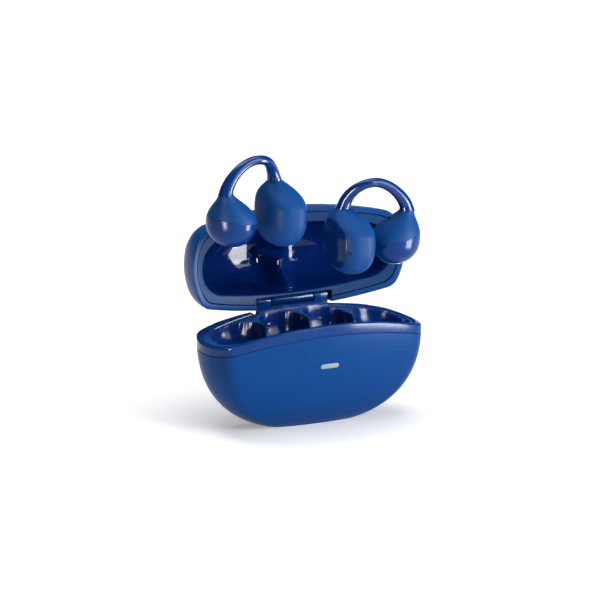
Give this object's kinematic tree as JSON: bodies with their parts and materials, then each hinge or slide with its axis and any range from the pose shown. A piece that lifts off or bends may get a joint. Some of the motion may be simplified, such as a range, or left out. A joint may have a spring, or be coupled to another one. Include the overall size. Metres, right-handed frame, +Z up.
{
  "type": "clip-on open earbuds with charging case",
  "caption": "Clip-on open earbuds, each a round battery pod and a pebble-shaped speaker pod joined by a springy bridge, lifted out of a rounded hinged charging case.",
  "frame": {"origin": "middle of the flat foot under the charging case", "axes": "+Z up out of the tray, +X along the case towards the right earbud, -Y towards the status light"},
  "size_m": [0.0719, 0.0578, 0.0845],
  "materials": {
    "case_shell": "semi-gloss royal blue",
    "gloss_trim": "gloss royal blue",
    "bridge_gloss": "gloss royal blue silicone",
    "bud_shell": "matte royal blue",
    "inner_gloss": "high-gloss navy",
    "light_lens": "frosted",
    "dark_mesh": "fine woven mesh",
    "steel": "satin",
    "gold_plate": "gold plated",
    "battery_foil": "foil wrapped",
    "circuit_board": "solder mask"
  },
  "bodies": {
    "case": {"case_lower_shell": "case_shell", "rim_band": "gloss_trim", "cradle_tray": "inner_gloss", "status_light_lens": "light_lens", "hinge_bracket": "inner_gloss", "hinge_pin": "steel", "case_main_board": "circuit_board", "case_battery": "battery_foil", "usb_c_socket": "steel", "case_closure_magnet": "steel", "left_holding_magnet": "steel", "right_holding_magnet": "steel"},
    "lid": {"lid_outer_shell": "case_shell", "lid_liner": "inner_gloss", "lid_hinge_arm": "inner_gloss", "lid_closure_magnet": "steel"},
    "left_speaker_pod": {"left_speaker_pod_shell": "bud_shell", "left_ear_side_cover": "bud_shell", "left_faceplate": "inner_gloss", "left_speaker_driver": "steel", "left_microphone_mesh": "dark_mesh", "left_bud_board": "circuit_board", "left_bridge_sleeve": "bridge_gloss", "left_bridge_wire": "steel"},
    "left_battery_pod": {"left_battery_pod_shell": "bud_shell", "left_battery_pod_cap": "gloss_trim", "left_bud_battery": "battery_foil", "left_vent_mesh": "dark_mesh", "left_charging_contact_front": "gold_plate", "left_charging_contact_rear": "gold_plate"},
    "left_charging_pin_front": {"left_charging_pin_front": "gold_plate"},
    "left_charging_pin_rear": {"left_charging_pin_rear": "gold_plate"},
    "right_speaker_pod": {"right_speaker_pod_shell": "bud_shell", "right_ear_side_cover": "bud_shell", "right_faceplate": "inner_gloss", "right_speaker_driver": "steel", "right_microphone_mesh": "dark_mesh", "right_bud_board": "circuit_board", "right_bridge_sleeve": "bridge_gloss", "right_bridge_wire": "steel"},
    "right_battery_pod": {"right_battery_pod_shell": "bud_shell", "right_battery_pod_cap": "gloss_trim", "right_bud_battery": "battery_foil", "right_vent_mesh": "dark_mesh", "right_charging_contact_front": "gold_plate", "right_charging_contact_rear": "gold_plate"},
    "right_charging_pin_front": {"right_charging_pin_front": "gold_plate"},
    "right_charging_pin_rear": {"right_charging_pin_rear": "gold_plate"}
  },
  "joints": [
    {"name": "lid_hinge", "type": "hinge", "parent": "case", "child": "lid", "pos_m": [0, 0.01207, 0.034], "axis": [-1, 0, 0], "range_deg": [-95.2, 0]},
    {"name": "left_earbud_lift", "type": "slide", "parent": "case", "child": "left_speaker_pod", "axis": [-0.1977, -0.2858, 0.9377], "range_m": [-0.0387, 0]},
    {"name": "left_bridge_flex", "type": "hinge", "parent": "left_speaker_pod", "child": "left_battery_pod", "pos_m": [-0.02237, -0.01148, 0.08318], "axis": [0, 1, 0], "range_deg": [0, 25], "stiffness_Nm_per_rad": 0.04, "deforming": ["left_bridge_sleeve", "left_bridge_wire"]},
    {"name": "left_charging_pin_front_press", "type": "slide", "parent": "case", "child": "left_charging_pin_front", "axis": [0, 0, 1], "range_m": [-0.0006, 0], "stiffness_N_per_m": 800},
    {"name": "left_charging_pin_rear_press", "type": "slide", "parent": "case", "child": "left_charging_pin_rear", "axis": [0, 0, 1], "range_m": [-0.0006, 0], "stiffness_N_per_m": 800},
    {"name": "right_earbud_lift", "type": "slide", "parent": "case", "child": "right_speaker_pod", "axis": [-0.0755, -0.5223, 0.8494], "range_m": [-0.03179, 0]},
    {"name": "right_bridge_flex", "type": "hinge", "parent": "right_speaker_pod", "child": "right_battery_pod", "pos_m": [0.01232, -0.01702, 0.07389], "axis": [0, -1, 0], "range_deg": [0, 25], "stiffness_Nm_per_rad": 0.04, "deforming": ["right_bridge_sleeve", "right_bridge_wire"]},
    {"name": "right_charging_pin_front_press", "type": "slide", "parent": "case", "child": "right_charging_pin_front", "axis": [0, 0, 1], "range_m": [-0.0006, 0], "stiffness_N_per_m": 800},
    {"name": "right_charging_pin_rear_press", "type": "slide", "parent": "case", "child": "right_charging_pin_rear", "axis": [0, 0, 1], "range_m": [-0.0006, 0], "stiffness_N_per_m": 800}
  ]
}
